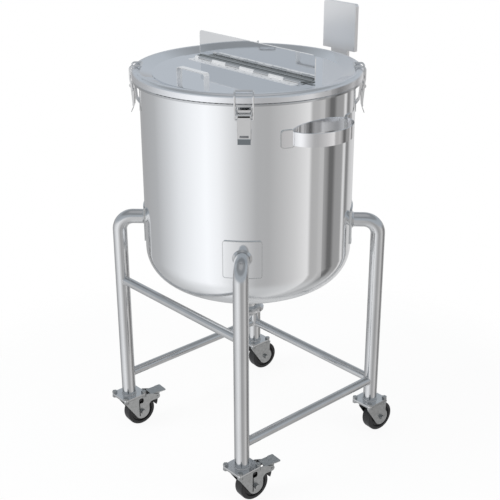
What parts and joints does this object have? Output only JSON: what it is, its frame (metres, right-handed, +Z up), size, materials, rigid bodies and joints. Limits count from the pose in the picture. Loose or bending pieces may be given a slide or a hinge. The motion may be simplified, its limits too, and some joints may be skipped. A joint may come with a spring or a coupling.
{
  "type": "agitator tank",
  "caption": "Dished stainless stirring tank with a half-hinged clip-down lid, grab handles, agitator plate and bottom outlet, on a pipe frame with swivel casters",
  "frame": {"origin": "on the floor, under the axis of the tank", "axes": "+Z up along the tank axis, +X along the hatch hinge, +Y to the agitator plate"},
  "size_m": [0.6806, 0.6597, 1.23],
  "materials": {
    "polished_steel": "buffed stainless",
    "mirror_steel": "mirror stainless",
    "bright_steel": "bright stainless",
    "zinc_steel": "zinc plated",
    "tyre": "black rubber tyre",
    "rubber": "moulded rubber"
  },
  "bodies": {
    "tank": {"tank_dish": "polished_steel", "tank_wall": "polished_steel", "tank_rim": "polished_steel", "lid": "mirror_steel", "lid_gasket": "rubber", "hinge_rear_leaf": "bright_steel", "hinge_pin": "bright_steel", "stop_plate": "mirror_steel", "outlet_neck": "polished_steel", "outlet_union": "polished_steel", "mount_plate": "polished_steel", "mount_neck": "polished_steel", "mount_bracket": "polished_steel", "grab_handle_right": "polished_steel", "grab_handle_left": "polished_steel", "bar_left_back": "polished_steel", "bar_back_right": "polished_steel", "bar_right_front": "polished_steel", "bar_front_left": "polished_steel", "leg_pads": "polished_steel", "caster_bolts": "zinc_steel", "leg_front": "polished_steel", "clip_base_front": "bright_steel", "caster_plate_front": "zinc_steel", "leg_right": "polished_steel", "clip_base_right": "bright_steel", "caster_plate_right": "zinc_steel", "leg_back": "polished_steel", "clip_base_back": "bright_steel", "caster_plate_back": "zinc_steel", "leg_left": "polished_steel", "clip_base_left": "bright_steel", "caster_plate_left": "zinc_steel"},
    "hatch": {"hatch": "mirror_steel", "hinge_front_leaf": "bright_steel", "hatch_handle": "polished_steel"},
    "clip_lever_front": {"clip_lever_front": "bright_steel"},
    "clip_bail_front": {"clip_bail_front": "bright_steel"},
    "clip_lever_right": {"clip_lever_right": "bright_steel"},
    "clip_bail_right": {"clip_bail_right": "bright_steel"},
    "clip_lever_back": {"clip_lever_back": "bright_steel"},
    "clip_bail_back": {"clip_bail_back": "bright_steel"},
    "clip_lever_left": {"clip_lever_left": "bright_steel"},
    "clip_bail_left": {"clip_bail_left": "bright_steel"},
    "caster_fork_front": {"caster_fork_front": "zinc_steel", "caster_axle_front": "zinc_steel"},
    "caster_wheel_front": {"caster_wheel_front": "tyre"},
    "brake_front": {"brake_pedal_front": "zinc_steel", "brake_shoe_front": "rubber"},
    "caster_fork_right": {"caster_fork_right": "zinc_steel", "caster_axle_right": "zinc_steel"},
    "caster_wheel_right": {"caster_wheel_right": "tyre"},
    "caster_fork_back": {"caster_fork_back": "zinc_steel", "caster_axle_back": "zinc_steel"},
    "caster_wheel_back": {"caster_wheel_back": "tyre"},
    "caster_fork_left": {"caster_fork_left": "zinc_steel", "caster_axle_left": "zinc_steel"},
    "caster_wheel_left": {"caster_wheel_left": "tyre"},
    "brake_left": {"brake_pedal_left": "zinc_steel", "brake_shoe_left": "rubber"}
  },
  "joints": [
    {"name": "hatch_hinge", "type": "hinge", "parent": "tank", "child": "hatch", "pos_m": [0, -0.008, 1.0977], "axis": [-1, 0, 0], "range_deg": [0, 117.4]},
    {"name": "clip_lever_front_turn", "type": "hinge", "parent": "tank", "child": "clip_lever_front", "pos_m": [0.22015, -0.20964, 1.056], "axis": [-0.6896, -0.7242, 0], "range_deg": [0, 150]},
    {"name": "clip_bail_front_turn", "type": "hinge", "parent": "clip_lever_front", "child": "clip_bail_front", "pos_m": [0.21798, -0.20758, 1.0435], "axis": [-0.6896, -0.7242, 0], "range_deg": [-170, 0]},
    {"name": "clip_lever_right_turn", "type": "hinge", "parent": "tank", "child": "clip_lever_right", "pos_m": [0.20964, 0.22015, 1.056], "axis": [0.7242, -0.6896, 0], "range_deg": [0, 150]},
    {"name": "clip_bail_right_turn", "type": "hinge", "parent": "clip_lever_right", "child": "clip_bail_right", "pos_m": [0.20758, 0.21798, 1.0435], "axis": [0.7242, -0.6896, 0], "range_deg": [-170, 0]},
    {"name": "clip_lever_back_turn", "type": "hinge", "parent": "tank", "child": "clip_lever_back", "pos_m": [-0.22015, 0.20964, 1.056], "axis": [0.6896, 0.7242, 0], "range_deg": [0, 150]},
    {"name": "clip_bail_back_turn", "type": "hinge", "parent": "clip_lever_back", "child": "clip_bail_back", "pos_m": [-0.21798, 0.20758, 1.0435], "axis": [0.6896, 0.7242, 0], "range_deg": [-170, 0]},
    {"name": "clip_lever_left_turn", "type": "hinge", "parent": "tank", "child": "clip_lever_left", "pos_m": [-0.20964, -0.22015, 1.056], "axis": [-0.7242, 0.6896, 0], "range_deg": [0, 150]},
    {"name": "clip_bail_left_turn", "type": "hinge", "parent": "clip_lever_left", "child": "clip_bail_left", "pos_m": [-0.20758, -0.21798, 1.0435], "axis": [-0.7242, 0.6896, 0], "range_deg": [-170, 0]},
    {"name": "caster_front_swivel", "type": "hinge", "parent": "tank", "child": "caster_fork_front", "pos_m": [0.25428, -0.25428, 0.096], "axis": [0, 0, 1], "continuous": true},
    {"name": "caster_front_spin", "type": "hinge", "parent": "caster_fork_front", "child": "caster_wheel_front", "pos_m": [0.25729, -0.22292, 0.045], "axis": [0.9954, -0.0958, 0], "continuous": true},
    {"name": "brake_front_press", "type": "hinge", "parent": "caster_fork_front", "child": "brake_front", "pos_m": [0.26257, -0.16817, 0.078], "axis": [-0.9954, 0.0958, 0], "range_deg": [0, 9]},
    {"name": "caster_right_swivel", "type": "hinge", "parent": "tank", "child": "caster_fork_right", "pos_m": [0.25428, 0.25428, 0.096], "axis": [0, 0, 1], "continuous": true},
    {"name": "caster_right_spin", "type": "hinge", "parent": "caster_fork_right", "child": "caster_wheel_right", "pos_m": [0.25729, 0.28563, 0.045], "axis": [0.9954, -0.0958, 0], "continuous": true},
    {"name": "caster_back_swivel", "type": "hinge", "parent": "tank", "child": "caster_fork_back", "pos_m": [-0.25428, 0.25428, 0.096], "axis": [0, 0, 1], "continuous": true},
    {"name": "caster_back_spin", "type": "hinge", "parent": "caster_fork_back", "child": "caster_wheel_back", "pos_m": [-0.25126, 0.28563, 0.045], "axis": [0.9954, -0.0958, 0], "continuous": true},
    {"name": "caster_left_swivel", "type": "hinge", "parent": "tank", "child": "caster_fork_left", "pos_m": [-0.25428, -0.25428, 0.096], "axis": [0, 0, 1], "continuous": true},
    {"name": "caster_left_spin", "type": "hinge", "parent": "caster_fork_left", "child": "caster_wheel_left", "pos_m": [-0.25126, -0.22292, 0.045], "axis": [0.9954, -0.0958, 0], "continuous": true},
    {"name": "brake_left_press", "type": "hinge", "parent": "caster_fork_left", "child": "brake_left", "pos_m": [-0.24599, -0.16817, 0.078], "axis": [-0.9954, 0.0958, 0], "range_deg": [0, 9]}
  ],
  "couplings": [
    {"joint": "clip_bail_front_turn", "follows": "clip_lever_front_turn", "ratio": -1.12},
    {"joint": "clip_bail_right_turn", "follows": "clip_lever_right_turn", "ratio": -1.12},
    {"joint": "clip_bail_back_turn", "follows": "clip_lever_back_turn", "ratio": -1.12},
    {"joint": "clip_bail_left_turn", "follows": "clip_lever_left_turn", "ratio": -1.12}
  ]
}
